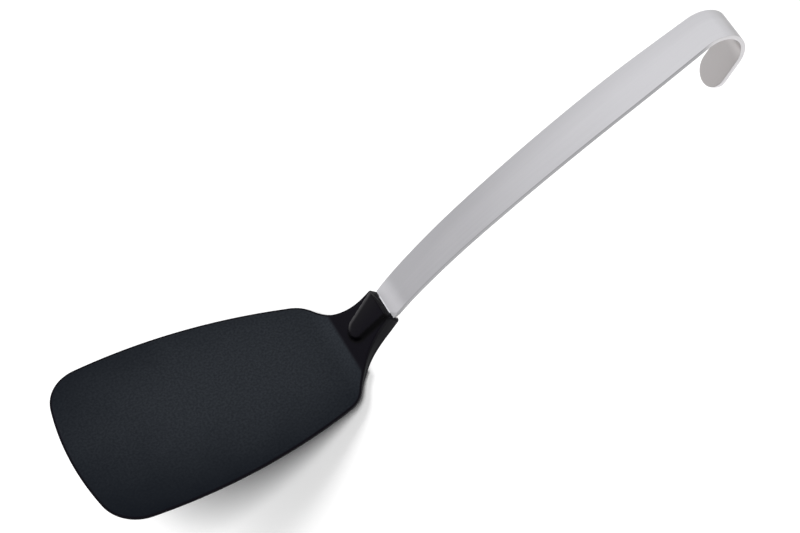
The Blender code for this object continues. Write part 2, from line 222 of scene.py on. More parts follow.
def moulding_outline():
    mesh = bmesh.new()
    front = Vector((FRONT_ARC_RADIUS, 0))
    side = Vector((WIDEST_PLACE, LEAF_WIDTH / 2 - SIDE_ARC_RADIUS))
    corner = crossing(side, SIDE_ARC_RADIUS - CORNER_RADIUS, front, FRONT_ARC_RADIUS - CORNER_RADIUS)
    to_front, to_side = (corner - front), (corner - side)
    front_turn = math.atan2(to_front.y, to_front.x) - math.pi
    corner_turn = math.atan2(to_side.y, to_side.x) - math.atan2(to_front.y, to_front.x)
    side_end = math.acos((SIDE_ARC_END - side.x) / SIDE_ARC_RADIUS)
    vert = sweep(mesh, mesh.verts.new((0, 0, 0)), front, front_turn)
    vert = sweep(mesh, vert, corner, corner_turn)
    vert = sweep(mesh, vert, side, side_end - math.atan2(to_side.y, to_side.x))
    run = LEAF_LENGTH - SHOULDER_SETBACK - vert.co.x
    shoulder = vert.co.xy + run * Vector((1, -1 / math.tan(side_end)))
    rim = Vector((RIM_PLACE, SOCKET_WIDTH / 2))
    corners = [vert.co.xy.copy(), shoulder, NECK_WAIST, rim]
    shoulder_radius, fillet_radius = fitted(corners, [SHOULDER_RADIUS, NECK_FILLET_RADIUS])
    vert = turn_corner(mesh, vert, shoulder, NECK_WAIST, shoulder_radius)
    vert = turn_corner(mesh, vert, NECK_WAIST, rim, fillet_radius)
    vert = turn_corner(mesh, vert, rim, Vector((RIM_PLACE, 0)), RIM_CORNER_RADIUS)
    pull(mesh, vert, Vector((RIM_PLACE, 0)))
    bmesh.ops.mirror(mesh, geom=mesh.verts[:] + mesh.edges[:], axis="Y", merge_dist=MERGE_REACH)
    bmesh.ops.remove_doubles(mesh, verts=mesh.verts, dist=MERGE_REACH)
    bmesh.ops.contextual_create(mesh, geom=mesh.edges[:])
    return mesh


blank = moulding_outline()
print("outline:", len(blank.verts), "points,", len(blank.faces), "face")

# %% [markdown]
# ## From outline to blank
#
# The face is extruded to a plate. Both rims get a round edge with the bevel operator. The top is then inset
# by about a millimetre, because the real leaf's matte grain stops that far from its edge: the ring's vertices
# carry a number, border, that the finish reads later.

# %% The plate, its rounded rims and its border
PLATE = ROOT_THICKNESS
RIM_ROUNDING = 0.38 * MM
BORDER_WIDTH = 1.1 * MM
LEVEL_ENOUGH = 0.999


def plate_from(mesh, thickness, rounding, border_width):
    """Extrudes a flat face, rounds both rims, and marks a border just inside them."""
    raised = bmesh.ops.extrude_face_region(mesh, geom=mesh.faces[:])["geom"]
    raised = [part for part in raised if isinstance(part, bmesh.types.BMVert)]
    bmesh.ops.translate(mesh, vec=(0, 0, thickness), verts=raised)
    bmesh.ops.recalc_face_normals(mesh, faces=mesh.faces)
    rims = [edge for edge in mesh.edges if abs(edge.verts[0].co.z - edge.verts[1].co.z) < thickness / 2]
    bmesh.ops.bevel(
        mesh,
        geom=rims,
        offset=rounding,
        offset_type="OFFSET",
        segments=3,
        profile=0.5,
        affect="EDGES",
        material=-1,
    )
    border = mesh.verts.layers.float.new("border")
    flats = [face for face in mesh.faces if abs(face.normal.z) > LEVEL_ENOUGH and len(face.verts) > 8]
    for vert in mesh.verts:
        vert[border] = 2
    for vert in {vert for face in flats for vert in face.verts}:
        vert[border] = 1
    bmesh.ops.inset_individual(mesh, faces=flats, thickness=border_width, use_even_offset=True)
    for vert in {vert for face in flats for vert in face.verts}:
        vert[border] = 0
    return mesh


plate_from(blank, PLATE, RIM_ROUNDING, BORDER_WIDTH)
print("blank:", len(blank.faces), "faces")

# %% [markdown]
# ## Rows of faces
#
# A plate can only bend where it has rows of faces. The bisect operator cuts them: every 2 mm along the leaf,
# where it flexes, and about every half millimetre on the neck, where the boss and the heel need them.

# %% Rows along and across
LEAF_ROW = 2 * MM
NECK_ROW = 0.6 * MM
NECK_COLUMN = 0.5 * MM
COLUMNS_REACH = 9 * MM
NECK_START = LEAF_LENGTH - HEEL_TANGENT - 10 * MM


def cut_rows(mesh, axis, places, wanted=None):
    """Cuts the faces that are wanted, square to X or Y, at each place."""
    direction = Vector((1, 0, 0)) if axis == "X" else Vector((0, 1, 0))
    for place in places:
        faces = [face for face in mesh.faces if not wanted or wanted(face)]
        edges = {edge for face in faces for edge in face.edges}
        verts = {vert for edge in edges for vert in edge.verts}
        cut_through = faces + list(edges) + list(verts)
        bmesh.ops.bisect_plane(
            mesh, geom=cut_through, dist=SAME_PLACE, plane_co=direction * place, plane_no=direction
        )


def steps_between(low, high, step):
    count = max(1, round((high - low) / step))
    return [low + (high - low) * i / count for i in range(1, count)]


def on_neck(face):
    return face.calc_center_median().x > NECK_START


cut_rows(blank, "X", steps_between(0, NECK_START, LEAF_ROW) + [NECK_START, LIP_LENGTH])
cut_rows(blank, "X", steps_between(NECK_START, RIM_PLACE, NECK_ROW), on_neck)
cut_rows(blank, "Y", steps_between(-COLUMNS_REACH, COLUMNS_REACH, NECK_COLUMN), on_neck)
print("blank with its rows:", len(blank.faces), "faces")

# %% [markdown]
# ## Heights of the moulding
#
# The top follows the leaf's thin taper and lip, and rises over the tang as a thumb-shaped boss. The
# underside is flat under the leaf, and drops along the neck to side walls and a keel. Where the neck is thicker
# than the blank, the rounded rims keep their shape, because only the middle of the wall is stretched.

# %% Heights over and under the blank
BOSS_FLANK = 1.3 * MM
OFF_THE_BOSS = -9


def smooth(share):
    share = min(max(share, 0), 1)
    return share * share * (3 - 2 * share)


def up_the_neck(flat):
    return flat - RIM_PLACE + NECK_LENGTH


def taper(place):
    share = min(place / (LEAF_LENGTH - HEEL_TANGENT), 1)
    return FRONT_THICKNESS + (ROOT_THICKNESS - FRONT_THICKNESS) * share


def leaf_thickness(flat):
    if flat >= LIP_LENGTH:
        return taper(flat)
    return LIP_THICKNESS + (taper(LIP_LENGTH) - LIP_THICKNESS) * flat / LIP_LENGTH


def inside_boss(place, aside):
    """How far a point lies inside the boss's thumb-shaped outline."""
    radius = BOSS_NOSE_WIDTH / 2
    centre = BOSS_NOSE + radius
    if place < centre:
        return radius - math.hypot(place - centre, aside)
    flare = (BOSS_RIM_WIDTH / 2 - radius) * (place - centre) / (NECK_LENGTH - centre)
    return radius + flare - abs(aside)


def top_height(flat, aside):
    return leaf_thickness(flat) + BOSS_RISE * smooth(inside_boss(up_the_neck(flat), aside) / BOSS_FLANK)


def bottom_height(flat, aside):
    place = up_the_neck(flat)
    wall_share = (place - SIDE_WALL_START) / (SIDE_WALL_END - SIDE_WALL_START)
    side = (ROOT_THICKNESS - SOCKET_HEIGHT) * smooth(wall_share)
    keel = min(side, -KEEL_DEPTH * smooth((place - KEEL_START) / KEEL_RAMP))
    return keel + (side - keel) * smooth((abs(aside) - KEEL_WIDTH / 2) / KEEL_FLANK)


def mark_boss(mesh):
    """Notes on each point of the top how many millimetres it lies inside the boss's outline."""
    layer = mesh.verts.layers.float.new("boss")
    for vert in mesh.verts:
        inside = inside_boss(up_the_neck(vert.co.x), vert.co.y) / MM
        vert[layer] = inside if vert.co.z > PLATE / 2 else OFF_THE_BOSS


def bent(flat, aside, height):
    """Where a point of the flat moulding lies in the leaf's frame once the neck is turned up."""
    turned = (flat - LEAF_LENGTH + HEEL_TANGENT) / HEEL_RADIUS
    if turned <= 0:
        return Vector((flat, aside, height))
    if turned >= NECK_SLOPE:
        neck = Matrix.Translation((LEAF_LENGTH, 0, 0)) @ Matrix.Rotation(-NECK_SLOPE, 4, "Y")
        return neck @ Vector((up_the_neck(flat), aside, height))
    radius = HEEL_RADIUS - height
    x = LEAF_LENGTH - HEEL_TANGENT + radius * math.sin(turned)
    return Vector((x, aside, HEEL_RADIUS - radius * math.cos(turned)))


def moulded(place):
    """Carries a point of the blank to its place on the finished moulding."""
    low, high = bottom_height(place.x, place.y), top_height(place.x, place.y)
    if high - low <= PLATE:
        height = low + (high - low) * place.z / PLATE
    elif place.z < PLATE / 2:
        height = low + place.z
    else:
        height = high - PLATE + place.z
    return bent(place.x, place.y, height)


RIM_HEIGHT = top_height(RIM_PLACE, 0) - bottom_height(RIM_PLACE, 0)
print("the neck is", round(RIM_HEIGHT / MM, 1), "mm thick at the rim")

# %% [markdown]
# ## A finished piece
#
# Each piece keeps the flat blank's coordinates as a UV map, in metres, so that its grain follows the surface
# round the bends. Its place in the world goes into the mesh, and its object stays at the origin, unturned.

# %% From blank to object
SHARP_ANGLE = 40 * DEGREE


def flat_map(mesh, thickness):
    """Writes the flat place of every corner to a UV map; the walls go on past the edge."""
    layer = mesh.loops.layers.uv.new("flat")
    for face in mesh.faces:
        for loop in face.loops:
            x, y, z = loop.vert.co
            down = thickness - z if abs(face.normal.z) < 0.9 or face.normal.z > 0 else 0
            loop[layer].uv = (x, y + math.copysign(down, y))


def make_piece(name, mesh, shape, finish):
    """Bends a blank into shape, sets it in the row's frame and makes a smooth-shaded object of it."""
    height = mesh.verts.layers.float.new("height")
    thickness = max(vert.co.z for vert in mesh.verts)
    for vert in mesh.verts:
        vert[height] = vert.co.z / thickness
        vert.co = leaf_frame @ shape(vert.co.copy())
    bmesh.ops.recalc_face_normals(mesh, faces=mesh.faces)
    data = bpy.data.meshes.new(name)
    mesh.to_mesh(data)
    mesh.free()
    for polygon in data.polygons:
        polygon.use_smooth = True
    data.set_sharp_from_angle(angle=SHARP_ANGLE)
    data.materials.append(finish)
    obj = bpy.data.objects.new(name, data)
    bpy.context.scene.collection.objects.link(obj)
    print(name, len(data.polygons), "faces")
    return obj


def part_of(mesh, near=None, far=None):
    """A closed copy of the blank between two places along it."""
    part = mesh.copy()
    for place, away in ((near, -1), (far, 1)):
        if place is None:
            continue
        cut = bmesh.ops.bisect_plane(
            part,
            geom=part.verts[:] + part.edges[:] + part.faces[:],
            dist=SAME_PLACE,
            plane_co=(place, 0, 0),
            plane_no=(away, 0, 0),
            clear_outer=True,
        )["geom_cut"]
        bmesh.ops.contextual_create(part, geom=[edge for edge in cut if isinstance(edge, bmesh.types.BMEdge)])
    return part


print("edges past", round(SHARP_ANGLE / DEGREE), "degrees stay sharp")

# %% [markdown]
# ## Shader maths in Python
#
# A finish is a small sum of patterns. A wrapped socket lets the sum be written the way it is thought:
# grain * 0.3 + wear. Every other node comes from one method that takes its type, settings and inputs.

# %% A wrapped socket and a finish


class Signal:
    def __init__(self, finish, socket):
        self.finish, self.socket = finish, socket

    def sum(self, operation, first, second):
        return self.finish.node("ShaderNodeMath", {"operation": operation}, {0: first, 1: second})

    def __add__(self, other):
        return self.sum("ADD", self, other)

    def __sub__(self, other):
        return self.sum("SUBTRACT", self, other)

    def __rsub__(self, other):
        return self.sum("SUBTRACT", other, self)

    def __mul__(self, other):
        return self.sum("MULTIPLY", self, other)

    __radd__, __rmul__ = __add__, __mul__


class Finish:
    def __init__(self, name):
        self.material = bpy.data.materials.new(name)
        self.material.use_nodes = True
        self.tree = self.material.node_tree
        self.shader = self.tree.nodes["Principled BSDF"]

    def feed(self, socket, value):
        if isinstance(value, Signal):
            self.tree.links.new(value.socket, socket)
        else:
            socket.default_value = value

    def node(self, kind, settings=None, inputs=None, output=0):
        made = self.tree.nodes.new(kind)
        for name, value in (settings or {}).items():
            setattr(made, name, value)
        for name, value in (inputs or {}).items():
            self.feed(made.inputs[name], value)
        return Signal(self, made.outputs[output])

    def set(self, **inputs):
        for name, value in inputs.items():
            self.feed(self.shader.inputs[name.replace("_", " ")], value)

    def vector(self, operation, first, second):
        return self.node("ShaderNodeVectorMath", {"operation": operation}, {0: first, 1: second})

    def flat_place(self):
        """The place on the flat blank as a vector, and its parts along and aside."""
        place = self.node("ShaderNodeUVMap", {"uv_map": "flat"})
        along, aside = (self.node("ShaderNodeSeparateXYZ", {}, {0: place}, axis) for axis in ("X", "Y"))
        return place, along, aside

    def measure(self, name):
        """A number that the points of the mesh carry."""
        return self.node("ShaderNodeAttribute", {"attribute_name": name}, {}, "Fac")

    def noise(self, place, per_metre, detail, rough):
        """Noise with a number of grains per metre along and across."""
        grains = self.vector("MULTIPLY", place, (*per_metre, 1))
        inputs = {"Vector": grains, "Scale": 1, "Detail": detail, "Roughness": rough}
        return self.node("ShaderNodeTexNoise", {"noise_dimensions": "3D"}, inputs)

    def ramp(self, value, low, high, start=0.0, end=1.0):
        """A smooth rise from start to end as the value goes from low to high."""
        inputs = {"Value": value, 1: low, 2: high, 3: start, 4: end}
        return self.node("ShaderNodeMapRange", {"interpolation_type": "SMOOTHSTEP"}, inputs)

    def blend(self, share, first, second):
        return self.node("ShaderNodeMix", {"data_type": "RGBA"}, {0: share, 6: first, 7: second}, 2)

    def bump(self, height, strength, distance):
        inputs = {"Strength": strength, "Distance": distance, "Height": height}
        self.set(Normal=self.node("ShaderNodeBump", {}, inputs))


print("signals know", [name for name in ("__add__", "__sub__", "__rsub__", "__mul__") if hasattr(Signal, name)])

# %% [markdown]
# ## Black nylon
#
# The leaf's faces come off a mould with a fine matte grain that scatters light to a bluish grey, and painted
# shade darkens the grain towards the leaf's edges. The grain stops on a straight soft line below the boss, and
# at the leaf's border; the neck is smooth and looks blacker. Painted light makes the boss's far half paler and
# lays a thin highlight along its far flank, and painted shade blackens the corner round its nose and near side.
# The neck's side wall has the grain again, between two smooth edges, coloured with painted light that is paler
# near the leaf and darker towards the rim. One finish holds all of it, and masks made from the flat place, the
# border, the height and the boss say which is where. A pair of numbers is where a mask starts and where it is
# full; the boss's pairs are in millimetres inside its outline.

# %% Colours and places of the nylon
MOTTLES, CLOUDS, GRAINS = (950, 950), (45, 45), (2600, 2600)
GRAIN_LINE = 131.7 * MM
GRAIN_LINE_BLUR = 1.2 * MM
# painted shade on the leaf: darker away from this off-centre middle
LEAF_LIT_MIDDLE = (81 * MM, 6.7 * MM, 0)
LEAF_SHADE_FALLOFF = (1 / (57 * MM), 1 / (26.6 * MM), 0)
PAINTED_SHADE_SPAN = (0.35, 2.6)
NOSE_MIDDLE = RIM_PLACE - NECK_LENGTH + BOSS_NOSE + BOSS_NOSE_WIDTH / 2
NOSE_SLANT = 0.7
SHADED_NOSE_SPAN = (-4 * MM, 3 * MM)
# painted light: the far half of the boss's top is paler
BOSS_LIGHT_CLOUD = 3 * MM
BOSS_LIGHT_SPAN = (-5 * MM, 8 * MM)
BOSS_TOP = (0.4, 1.6)
# painted highlight: a thin line along the boss's far flank
CREST_INNER, CREST_OUTER = (0.4, 1.2), (1.4, 3.2)
CREST_SIDE = (0.5 * MM, 4 * MM)
# painted shade in the corner round the boss's nose and near side
SHADED_CORNER_OUTER, SHADED_CORNER_INNER = (-1.8, -0.4), (0.8, 2.6)
SHADED_NEAR_SIDE = (-5 * MM, 2 * MM)
WALL_START = (112 * MM, 124 * MM)
WALL_END = (RIM_PLACE - 1 * MM, RIM_PLACE - 0.3 * MM)
WALL_LOW, WALL_HIGH = (0.32, 0.42), (0.6, 0.7)
WALL_SHADING = (120 * MM, 150 * MM)
FALL = (1.0, 0.0)
PALE_GRAIN = (0.0248, 0.0282, 0.0336, 1)
DARK_GRAIN = (0.0152, 0.0176, 0.0216, 1)
# painted shade: the grain's colour towards the leaf's edges
PAINTED_SHADE_GRAIN = (0.0024, 0.0036, 0.0062, 1)
SMOOTH_BLACK = (0.002, 0.0016, 0.0034, 1)
# painted light on the boss's far half
PAINTED_BOSS_LIGHT = (0.006, 0.0057, 0.007, 1)
# painted highlight along the boss's far flank
CREST_HIGHLIGHT = (0.042, 0.041, 0.043, 1)
# painted shade round the boss's nose and near side
PAINTED_SHADE_BLACK = (0.0004, 0.0003, 0.0006, 1)
# painted light on the side wall: paler near the leaf, darker towards the rim
WALL_LIT_AT_LEAF = (0.05, 0.051, 0.054, 1)
WALL_SHADED_AT_RIM = (0.009, 0.009, 0.0105, 1)
print("the grain stops", round((RIM_PLACE - GRAIN_LINE) / MM, 1), "mm before the rim")

# %% The nylon's colours


def leaf_colour(finish, place, cloud):
    """The matte grain: a fine mottle of two greys, with painted shade darkening it towards the leaf's edges."""
    mottle = finish.noise(place, MOTTLES, 2, 0.55)
    middle = finish.vector("MULTIPLY", finish.vector("SUBTRACT", place, LEAF_LIT_MIDDLE), LEAF_SHADE_FALLOFF)
    away = finish.node("ShaderNodeVectorMath", {"operation": "LENGTH"}, {0: middle}, "Value")
    # painted shade, growing away from the leaf's middle
    painted_shade = finish.ramp(away + 0.5 * (cloud - 0.5), *PAINTED_SHADE_SPAN)
    grain = finish.blend(finish.ramp(mottle, 0.3, 0.7), DARK_GRAIN, PALE_GRAIN)
    return finish.blend(painted_shade, grain, PAINTED_SHADE_GRAIN)


def neck_colour(finish, along, aside, boss, cloud):
    """Smooth black, with painted light on the boss's far half and far flank, and painted shade round its nose
    and near side.
    """
    # painted light: the far half of the boss is paler
    lit_far_side = finish.ramp(aside + BOSS_LIGHT_CLOUD * (cloud - 0.5), *BOSS_LIGHT_SPAN)
    colour = finish.blend(lit_far_side * finish.ramp(boss, *BOSS_TOP), SMOOTH_BLACK, PAINTED_BOSS_LIGHT)
    # painted highlight along the boss's far flank
    crest = finish.ramp(boss, *CREST_INNER) * finish.ramp(boss, *CREST_OUTER, *FALL)
    colour = finish.blend(crest * finish.ramp(aside, *CREST_SIDE), colour, CREST_HIGHLIGHT)
    # painted shade in the corner round the boss's nose and near side
    shaded_near_side = finish.ramp(aside, *SHADED_NEAR_SIDE, *FALL)
    nose = finish.ramp(aside + NOSE_SLANT * (along - NOSE_MIDDLE), *SHADED_NOSE_SPAN, *FALL)
    corner = finish.ramp(boss, *SHADED_CORNER_OUTER) * finish.ramp(boss, *SHADED_CORNER_INNER, *FALL)
    return finish.blend(corner * (shaded_near_side + nose - shaded_near_side * nose), colour, PAINTED_SHADE_BLACK)


def wall_mask(finish, along, border, height):
    """The middle of the neck's side wall, from the shoulder to just before the rim."""
    wall = finish.ramp(border, 1.6, 1.95) * finish.ramp(along, *WALL_START)
    wall = wall * finish.ramp(along, *WALL_END, *FALL)
    return wall * finish.ramp(height, *WALL_LOW) * finish.ramp(height, *WALL_HIGH, *FALL)


# %% The nylon finish


def nylon():
    finish = Finish("black_nylon_moulding")
    place, along, aside = finish.flat_place()
    border, height, boss = (finish.measure(name) for name in ("border", "height", "boss"))
    cloud = finish.noise(place, CLOUDS, 2, 0.5)
    grain = finish.noise(place, GRAINS, 2, 0.6)
    grained = finish.ramp(along, GRAIN_LINE - GRAIN_LINE_BLUR, GRAIN_LINE + GRAIN_LINE_BLUR, *FALL)
    grained = grained * finish.ramp(border, 0.25, 0.75, *FALL)
    smooth_part = neck_colour(finish, along, aside, boss, cloud)
    colour = finish.blend(grained, smooth_part, leaf_colour(finish, place, cloud))
    wall = wall_mask(finish, along, border, height)
    # painted light on the side wall: paler near the leaf, darker towards the rim
    wall_light = finish.blend(finish.ramp(along, *WALL_SHADING), WALL_LIT_AT_LEAF, WALL_SHADED_AT_RIM)
    finish.set(
        Base_Color=finish.blend(wall, colour, wall_light),
        Roughness=grained * (0.26 + 0.06 * cloud) + wall * 0.25 + 0.36 + 0.05 * grain,
        Specular_IOR_Level=0.05,
    )
    finish.bump(grained * grain + wall * grain + 0.2 * cloud, 0.5, 0.03 * MM)
    return finish.material


nylon_finish = nylon()
print("nylon finish:", len(nylon_finish.node_tree.nodes), "nodes")

# %% [markdown]
# ## Four skins over the leaf's three bends
#
# The real moulding is one piece. Here the blank is parted twice, in the middle between two hinges, into three
# leaf skins, and a third cut, in the heel, leaves the stiff neck as a skin of its own, which the lamps can pass
# by; the neck skin rides on the handle. The leaf skins are set in place as they are. Each one's bend would
# reach only a little way on both sides of its hinge, because a long one would make waves in the leaf's edge,
# and those places are worked out, but nothing here bends the skins or ties them to a body.

# %% The moulding's four skins
CUTS = [(a + b) / 2 for a, b in zip(FLEX_PLACES, FLEX_PLACES[1:])]
NECK_CUT = RIM_PLACE - NECK_LENGTH + 5 * MM
FLEX_REACH = 4.5 * MM
LEAF_SKINS = (
    ("leaf_root_skin", (CUTS[0], NECK_CUT), ("handle", "root_of_leaf"), "leaf_root"),
    ("leaf_middle_skin", (CUTS[1], CUTS[0]), ("root_of_leaf", "middle_of_leaf"), "leaf_mid"),
    ("leaf_front_skin", (None, CUTS[1]), ("middle_of_leaf", "front_of_leaf"), "leaf_front"),
)
flat_map(blank, PLATE)
mark_boss(blank)
neck = make_piece("neck_skin", part_of(blank, NECK_CUT), moulded, nylon_finish)
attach(neck, "handle")
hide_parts("neck_socket")
leaf_skins = []
for (name, reach, bodies, node), hinge in zip(LEAF_SKINS, FLEX_PLACES):
    skin = make_piece(name, part_of(blank, *reach), moulded, nylon_finish)
    start = leaf_frame @ Vector((hinge + FLEX_REACH, 0, 0))
    end = leaf_frame @ Vector((hinge - FLEX_REACH, 0, 0))
    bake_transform(skin)
    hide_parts(node)
    leaf_skins.append(skin)
blank.free()

# %% [markdown]
# ## The steel strip
#
# It is blanked flat, bent three times very gently and then rolled into the hook. The blank is even in width
# with one round end; after the edges are rounded and the rows cut, each row is drawn in or out to the strip's
# slight belly and to the narrow tang, which stays hidden in the nylon.

# %% Sizes of the strip
STRIP_THICKNESS = 2.1 * MM
STRIP_COVER = 3.5 * MM
RIM_WIDTH = 16.9 * MM
BELLY_WIDTH = 20.3 * MM
BELLY_PLACE = 135 * MM
TONGUE_WIDTH = 16.6 * MM
TANG_LENGTH = 18 * MM
TANG_WIDTH = 10.4 * MM
HOOK_RADIUS = 13.4 * MM
HOOK_TURN = 152 * DEGREE
TONGUE_LENGTH = 10.6 * MM
SHOULDER_GAP = 0.3 * MM
RUNS = (
    (3 * MM, 0),
    (16 * MM, 6 * DEGREE),
    (36 * MM, 7.1 * DEGREE),
    (96 * MM, 7 * DEGREE),
    (28.7 * MM, 0),
    (HOOK_RADIUS * HOOK_TURN, HOOK_TURN),
    (TONGUE_LENGTH + TONGUE_WIDTH / 2, 0),
)
STRIP_LENGTH = sum(length for length, _ in RUNS)
HOOK_START = sum(length for length, _ in RUNS[:5])
HOOK_END = HOOK_START + HOOK_RADIUS * HOOK_TURN
print("strip:", round(STRIP_LENGTH / MM, 1), "mm from the rim to the tongue's end, laid flat")

# %% The strip's blank
STRIP_ROUNDING = 0.3 * MM
STRIP_BORDER = 0.5 * MM
TONGUE_FACET = 0.5 * MM
ROW_TURN = 3 * DEGREE
ROW_LENGTH = 5 * MM
SHOULDER_STEP = 0.02 * MM


def strip_half_width(place):
    if place < SHOULDER_GAP:
        return TANG_WIDTH / 2
    if place < BELLY_PLACE:
        return (RIM_WIDTH + (BELLY_WIDTH - RIM_WIDTH) * math.sin(math.pi / 2 * place / BELLY_PLACE)) / 2
    share = smooth((place - BELLY_PLACE) / (HOOK_END - BELLY_PLACE))
    return (BELLY_WIDTH + (TONGUE_WIDTH - BELLY_WIDTH) * share) / 2


def strip_blank():
    mesh = bmesh.new()
    half = TONGUE_WIDTH / 2
    vert = pull(mesh, mesh.verts.new((-TANG_LENGTH / 2, 0, 0)), Vector((-TANG_LENGTH / 2, half)))
    vert = pull(mesh, vert, Vector((STRIP_LENGTH - half, half)))
    sweep(mesh, vert, Vector((STRIP_LENGTH - half, 0)), -math.pi / 2, TONGUE_FACET)
    bmesh.ops.mirror(mesh, geom=mesh.verts[:] + mesh.edges[:], axis="Y", merge_dist=MERGE_REACH)
    bmesh.ops.remove_doubles(mesh, verts=mesh.verts, dist=MERGE_REACH)
    bmesh.ops.contextual_create(mesh, geom=mesh.edges[:])
    plate_from(mesh, STRIP_THICKNESS, STRIP_ROUNDING, STRIP_BORDER)
    place = 0
    for length, turn in RUNS:
        facets = max(1, math.ceil(turn / ROW_TURN), math.ceil(length / ROW_LENGTH))
        cut_rows(mesh, "X", [place + length * i / facets for i in range(facets)])
        place += length
    cut_rows(mesh, "X", [SHOULDER_GAP - SHOULDER_STEP, SHOULDER_GAP])
    return mesh


strip = strip_blank()
print("strip blank:", len(strip.faces), "faces")

# %% [markdown]
# ## Bending the strip
#
# Each run starts in a frame of its own. A straight run carries a point on as it is, and a bent run wraps it
# round a cylinder, so the steel keeps its thickness and its length through every bend.

# %% The bent strip


def run_frames():
    neck = Matrix.Translation((LEAF_LENGTH, 0, 0)) @ Matrix.Rotation(-NECK_SLOPE, 4, "Y")
    frame_here = neck @ Matrix.Translation((NECK_LENGTH, 0, ROOT_THICKNESS - STRIP_COVER))
    place, frames = 0, []
    for length, turn in RUNS:
        radius = length / turn if turn else 0
        frames.append((place, radius, frame_here))
        chord = Vector((length, 0, 0))
        if turn:
            chord = Vector((radius * math.sin(turn), 0, radius * (math.cos(turn) - 1)))
        frame_here = frame_here @ Matrix.Translation(chord) @ Matrix.Rotation(turn, 4, "Y")
        place += length
    return frames


FRAMES = run_frames()


def on_strip(point):
    reached = [run for run in FRAMES if point.x >= run[0] - SAME_PLACE] or FRAMES[:1]
    start, radius, frame_here = reached[-1]
    aside = point.y * strip_half_width(point.x) / (TONGUE_WIDTH / 2)
    height = point.z - STRIP_THICKNESS
    if not radius:
        return frame_here @ Vector((point.x - start, aside, height))
    angle = (point.x - start) / radius
    reach = radius + height
    return frame_here @ Vector((reach * math.sin(angle), aside, reach * math.cos(angle) - radius))


print("runs start at, mm:", [round(start / MM, 1) for start, _, _ in FRAMES])

# %% [markdown]
# ## Satin steel
#
# The sheet is brushed along its length, so its streaks are long in one direction and hair-thin in the other.
# Painted shade makes it darker by the neck, at the hook's bend and towards its far edge, and painted light
# brighter towards the hook. Its sides carry painted shade along the straight part and painted light round the
# hook, and its underside painted shade. Right beside the black rim it is not metal but a plain painted grey
# that stands in for the steel's reflection, with one thin painted highlight along the rim. Hands leave faint
# cloudy marks that only show in the gloss.

# %% Colours and places of the steel
HAIRS, STREAKS, TOUCHES = (70, 7000), (12, 900), (28, 45)
# painted light: the steel brightens from the neck towards the hook
PAINTED_LIGHT_ALONG = (0, 165 * MM)
# painted shade towards the strip's far edge
FAR_EDGE = (-1 * MM, 8.3 * MM)
FAR_EDGE_SHADE = 0.25
# beside the rim the steel is not metal; a painted grey stands in for its reflection
BESIDE_RIM = (2 * MM, 11 * MM)
# painted highlight: one thin bright line along the rim
RIM_HIGHLIGHT_SPAN = (0.25 * MM, 0.8 * MM)
# painted shade at the hook's bend
SHADED_BEND_SPAN = (HOOK_START + 8 * MM, HOOK_START + 19 * MM)
# painted shade on the strip's underside
SHADED_UNDERSIDE = (0.05, 0.45)
# where the sides' painted shade turns to painted light round the hook
SIDE_LIGHT_SPAN = (HOOK_START - 4 * MM, HOOK_START + 4 * MM)
# painted shade by the neck, painted light towards the hook
STEEL_SHADED_AT_NECK = (0.435, 0.43, 0.45, 1)
STEEL_LIT_AT_HOOK = (0.645, 0.64, 0.665, 1)
# painted shade at the hook's bend
STEEL_SHADED_AT_BEND = (0.33, 0.325, 0.33, 1)
# painted grey beside the rim, standing in for the steel's reflection
STEEL_PAINTED_BY_RIM = (0.385, 0.38, 0.398, 1)
# painted highlight: one thin bright line along the rim
RIM_HIGHLIGHT = (0.62, 0.62, 0.65, 1)
# painted shade on the strip's underside
STEEL_SHADED_UNDER = (0.45, 0.43, 0.43, 1)
# painted shade on the strip's sides along the straight part
SHADED_SIDE_BAND = (0.33, 0.33, 0.34, 1)
# painted light on the strip's sides round the hook
LIT_SIDE_BAND = (0.57, 0.56, 0.57, 1)
print("the hook starts", round(HOOK_START / MM, 1), "mm from the rim")

# %% The steel finish


def steel_colour(finish, along, tone, height):
    """The brushed face, its painted light and shade along the strip, and the underside in painted shade."""
    # painted shade by the neck, painted light towards the hook
    body = finish.blend(tone, STEEL_SHADED_AT_NECK, STEEL_LIT_AT_HOOK)
    # painted grey beside the rim, standing in for the steel's reflection
    body = finish.blend(finish.ramp(along, *BESIDE_RIM, *FALL), body, STEEL_PAINTED_BY_RIM)
    # painted highlight: one thin bright line along the rim
    body = finish.blend(finish.ramp(along, *RIM_HIGHLIGHT_SPAN, *FALL), body, RIM_HIGHLIGHT)
    # painted shade at the hook's bend
    body = finish.blend(finish.ramp(along, *SHADED_BEND_SPAN), body, STEEL_SHADED_AT_BEND)
    # painted shade on the strip's underside
    return finish.blend(finish.ramp(height, *SHADED_UNDERSIDE, *FALL), body, STEEL_SHADED_UNDER)


